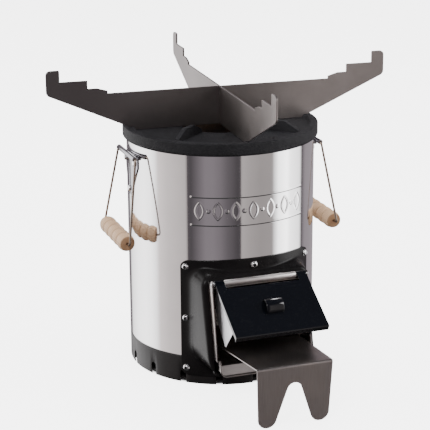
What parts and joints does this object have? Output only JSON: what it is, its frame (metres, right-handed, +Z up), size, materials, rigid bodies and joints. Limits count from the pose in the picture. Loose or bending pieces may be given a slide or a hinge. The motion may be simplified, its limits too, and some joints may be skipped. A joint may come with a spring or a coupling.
{
  "type": "rocket stove",
  "caption": "Portable wood-burning rocket stove: polished drum, cast iron top, cross-shaped pan support, front flap door, pull-out wood shelf and side bail handles.",
  "frame": {"origin": "centre of the standing face on the ground, on the drum's axis", "axes": "+Z up along the drum's axis, -Y out of the feed mouth, +X to the right of a person facing the door from outside"},
  "size_m": [0.4674, 0.5032, 0.4115],
  "materials": {
    "polished_steel": "mirror polished",
    "satin_black": "satin",
    "gloss_enamel": "gloss",
    "cast_iron": "seasoned, fine sand texture",
    "blade_steel": "matt heat-toned",
    "brushed_steel": "brushed",
    "bright_steel": "bright",
    "chromed_steel": "chromed",
    "ceramic_wool": "fibrous",
    "foot_rubber": "matt",
    "beech": "oiled"
  },
  "bodies": {
    "stove": {"outer_casing": "polished_steel", "base_ring": "satin_black", "bottom_plate": "satin_black", "foot_pads": "foot_rubber", "inner_floor": "brushed_steel", "burn_chamber": "brushed_steel", "flue_pipe": "brushed_steel", "feed_tunnel": "brushed_steel", "shelf_rails": "brushed_steel", "insulation": "ceramic_wool", "cover_plate": "brushed_steel", "cast_iron_top": "cast_iron", "top_screws": "satin_black", "door_housing": "satin_black", "housing_screws": "bright_steel", "hinge_sleeve": "brushed_steel", "hinge_pin": "bright_steel", "left_bracket": "chromed_steel", "right_bracket": "chromed_steel", "bracket_rivets": "bright_steel"},
    "door": {"feed_door": "gloss_enamel", "door_pull": "gloss_enamel", "left_cheek": "brushed_steel", "right_cheek": "brushed_steel"},
    "shelf": {"wood_shelf": "brushed_steel"},
    "ash_drawer": {"ash_tray": "brushed_steel"},
    "left_bail": {"left_bail": "bright_steel"},
    "right_bail": {"right_bail": "bright_steel"},
    "left_grip": {"left_grip": "beech"},
    "right_grip": {"right_grip": "beech"},
    "pan_support": {"support_blade_lower": "blade_steel", "support_blade_upper": "blade_steel"}
  },
  "joints": [
    {"name": "door_hinge", "type": "hinge", "parent": "stove", "child": "door", "pos_m": [0, -0.148, 0.1538], "axis": [-1, 0, 0], "range_deg": [-24.5, 113]},
    {"name": "shelf_slide", "type": "slide", "parent": "stove", "child": "shelf", "axis": [0, -0.9945, 0.1045], "range_m": [0, 0.15]},
    {"name": "ash_tray_slide", "type": "slide", "parent": "stove", "child": "ash_drawer", "axis": [0, -1, 0], "range_m": [0, 0.09]},
    {"name": "left_bail_hinge", "type": "hinge", "parent": "stove", "child": "left_bail", "pos_m": [-0.131, 0, 0.297], "axis": [0, 1, 0], "range_deg": [0, 95]},
    {"name": "right_bail_hinge", "type": "hinge", "parent": "stove", "child": "right_bail", "pos_m": [0.131, 0, 0.297], "axis": [0, -1, 0], "range_deg": [0, 95]},
    {"name": "left_grip_spin", "type": "hinge", "parent": "left_bail", "child": "left_grip", "pos_m": [-0.14713, 0, 0.18778], "axis": [0, 1, 0], "continuous": true},
    {"name": "right_grip_spin", "type": "hinge", "parent": "right_bail", "child": "right_grip", "pos_m": [0.14713, 0, 0.18778], "axis": [0, 1, 0], "continuous": true},
    {"name": "support_lift", "type": "slide", "parent": "stove", "child": "pan_support", "axis": [0, 0, 1], "range_m": [0, 0.06]}
  ]
}
